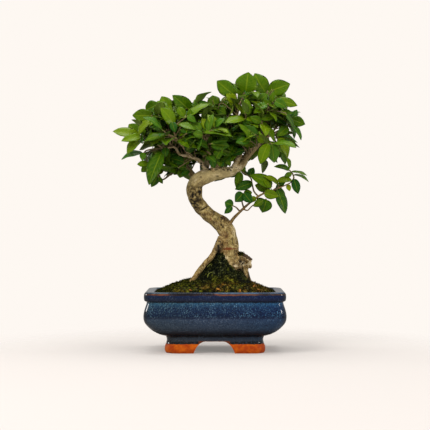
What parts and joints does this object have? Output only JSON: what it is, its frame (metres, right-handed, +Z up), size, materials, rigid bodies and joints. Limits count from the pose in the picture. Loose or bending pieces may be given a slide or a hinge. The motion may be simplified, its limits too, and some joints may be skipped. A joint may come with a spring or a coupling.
{
  "type": "chinese privet bonsai",
  "caption": "Small broadleaf indoor bonsai with a bent trunk, exposed roots and a domed leafy crown, in an oblong glazed pot with a mossy mound.",
  "frame": {"origin": "middle of the whole plant's footprint box, at the level its feet stand on", "axes": "+Z up through the tree, +X to the right of the front view along the pot's long side, -Y towards the viewer of the front"},
  "size_m": [0.2102, 0.1306, 0.2996],
  "materials": {
    "glaze": "glossy speckled blue glaze that runs from teal to navy, bare orange-brown clay at the feet",
    "soil": "dark moist granular soil",
    "moss": "matt, uneven green to olive-brown moss",
    "bark": "matt tan-grey bark with dark scars",
    "leaf": "smooth leaves with a soft sheen, yellow-green to dark green"
  },
  "bodies": {
    "root": {"pot": "glaze", "soil": "soil", "moss": "moss", "wood": "bark", "spray_left_tip": "leaf", "spray_left_outer": "leaf", "spray_left_low": "leaf", "spray_left_droop": "leaf", "spray_left_back_low": "leaf", "spray_left_mid": "leaf", "spray_left_upright": "leaf", "spray_left_big": "leaf", "spray_left_inner": "leaf", "spray_left_shoot": "leaf", "spray_left_hanging": "leaf", "spray_mid_arch": "leaf", "spray_mid_upper": "leaf", "spray_mid_low": "leaf", "spray_front_low": "leaf", "spray_front_right_low": "leaf", "spray_top_mid": "leaf", "spray_top_left": "leaf", "spray_top_crown": "leaf", "spray_top_right": "leaf", "spray_top_facing": "leaf", "spray_right_stalk": "leaf", "spray_right_arched": "leaf", "spray_right_inner": "leaf", "spray_right_glossy": "leaf", "spray_right_front": "leaf", "spray_right_side": "leaf", "spray_right_mid": "leaf", "spray_low_first": "leaf", "spray_low_second": "leaf", "spray_low_third": "leaf", "spray_low_big": "leaf", "spray_low_round": "leaf", "spray_low_striped": "leaf", "spray_low_tip": "leaf", "spray_back_top": "leaf", "spray_back_centre_left": "leaf", "spray_back_centre_right": "leaf", "spray_back_low": "leaf", "spray_back_right_end": "leaf", "spray_back_right_low": "leaf", "spray_back_left_end": "leaf", "spray_back_left_low": "leaf", "spray_back_left_deep": "leaf", "spray_far_right_end": "leaf", "spray_far_right_low": "leaf", "spray_far_left_end": "leaf", "spray_back_left_under": "leaf", "spray_back_mid_left": "leaf", "spray_back_upper_left": "leaf", "spray_back_crown": "leaf", "spray_back_centre_top": "leaf", "spray_right_back_top": "leaf", "spray_front_left_low": "leaf", "spray_front_right_top": "leaf"}
  },
  "joints": []
}
